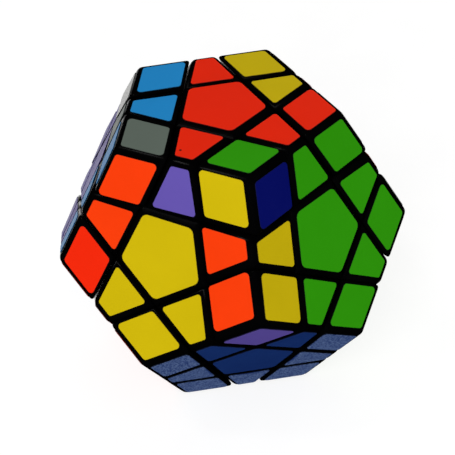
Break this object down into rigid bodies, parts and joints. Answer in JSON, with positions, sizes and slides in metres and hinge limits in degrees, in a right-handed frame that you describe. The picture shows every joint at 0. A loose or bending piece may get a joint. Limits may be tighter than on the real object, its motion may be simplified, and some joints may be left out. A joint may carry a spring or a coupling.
{
  "type": "dodecahedral twisty puzzle",
  "caption": "Twelve-sided twisty puzzle with turning pentagonal layers, black plastic pieces and scrambled coloured stickers.",
  "frame": {"origin": "middle of the core, where all twelve axes meet", "axes": "+Z out of the top face, -Y towards the lower front face, +X to the right; the puzzle rests on the bottom face"},
  "size_m": [0.0814, 0.0856, 0.0704],
  "materials": {
    "black_plastic": "satin",
    "inner_plastic": "satin",
    "steel": "zinc plated",
    "sticker_orange": "vinyl",
    "sticker_red": "vinyl",
    "sticker_blue": "vinyl",
    "sticker_yellow": "vinyl",
    "sticker_green": "vinyl",
    "sticker_sky": "vinyl",
    "sticker_purple": "vinyl",
    "sticker_grey": "vinyl",
    "sticker_white": "vinyl",
    "sticker_pink": "vinyl",
    "sticker_lime": "vinyl",
    "sticker_cream": "vinyl"
  },
  "bodies": {
    "core_and_fixed_pieces": {"core": "inner_plastic", "core_screws": "steel", "core_washers": "steel", "core_springs": "steel", "still_centres": "black_plastic", "still_caps": "black_plastic", "still_edges": "black_plastic", "still_edge_feet": "inner_plastic", "still_corner_1": "black_plastic", "still_corner_2": "black_plastic", "still_corner_3": "black_plastic", "still_corner_4": "black_plastic", "still_corner_5": "black_plastic", "still_corner_feet": "inner_plastic", "still_stickers": "sticker_orange"},
    "top_layer": {"top_centre": "black_plastic", "top_cap": "black_plastic", "top_edge_1": "black_plastic", "top_edge_2": "black_plastic", "top_edge_3": "black_plastic", "top_edge_4": "black_plastic", "top_edge_5": "black_plastic", "top_edge_feet": "inner_plastic", "top_corner_1": "black_plastic", "top_corner_2": "black_plastic", "top_corner_3": "black_plastic", "top_corner_4": "black_plastic", "top_corner_5": "black_plastic", "top_corner_feet": "inner_plastic", "top_stickers": "sticker_red"},
    "front_layer": {"front_centre": "black_plastic", "front_cap": "black_plastic", "front_edge_1": "black_plastic", "front_edge_2": "black_plastic", "front_edge_3": "black_plastic", "front_edge_4": "black_plastic", "front_edge_5": "black_plastic", "front_edge_feet": "inner_plastic", "front_corner_1": "black_plastic", "front_corner_2": "black_plastic", "front_corner_3": "black_plastic", "front_corner_4": "black_plastic", "front_corner_5": "black_plastic", "front_corner_feet": "inner_plastic", "front_stickers": "sticker_blue"},
    "back_layer": {"back_centre": "black_plastic", "back_cap": "black_plastic", "back_edge_1": "black_plastic", "back_edge_2": "black_plastic", "back_edge_3": "black_plastic", "back_edge_4": "black_plastic", "back_edge_5": "black_plastic", "back_edge_feet": "inner_plastic", "back_corner_1": "black_plastic", "back_corner_2": "black_plastic", "back_corner_3": "black_plastic", "back_corner_4": "black_plastic", "back_corner_5": "black_plastic", "back_corner_feet": "inner_plastic", "back_stickers": "sticker_yellow"}
  },
  "joints": [
    {"name": "top_turn", "type": "hinge", "parent": "core_and_fixed_pieces", "child": "top_layer", "pos_m": [0, 0, 0], "axis": [0, 0, 1], "continuous": true},
    {"name": "front_turn", "type": "hinge", "parent": "core_and_fixed_pieces", "child": "front_layer", "pos_m": [0, 0, 0], "axis": [0, -0.8944, -0.4472], "continuous": true},
    {"name": "back_turn", "type": "hinge", "parent": "core_and_fixed_pieces", "child": "back_layer", "pos_m": [0, 0, 0], "axis": [0.5257, 0.7236, -0.4472], "continuous": true}
  ]
}
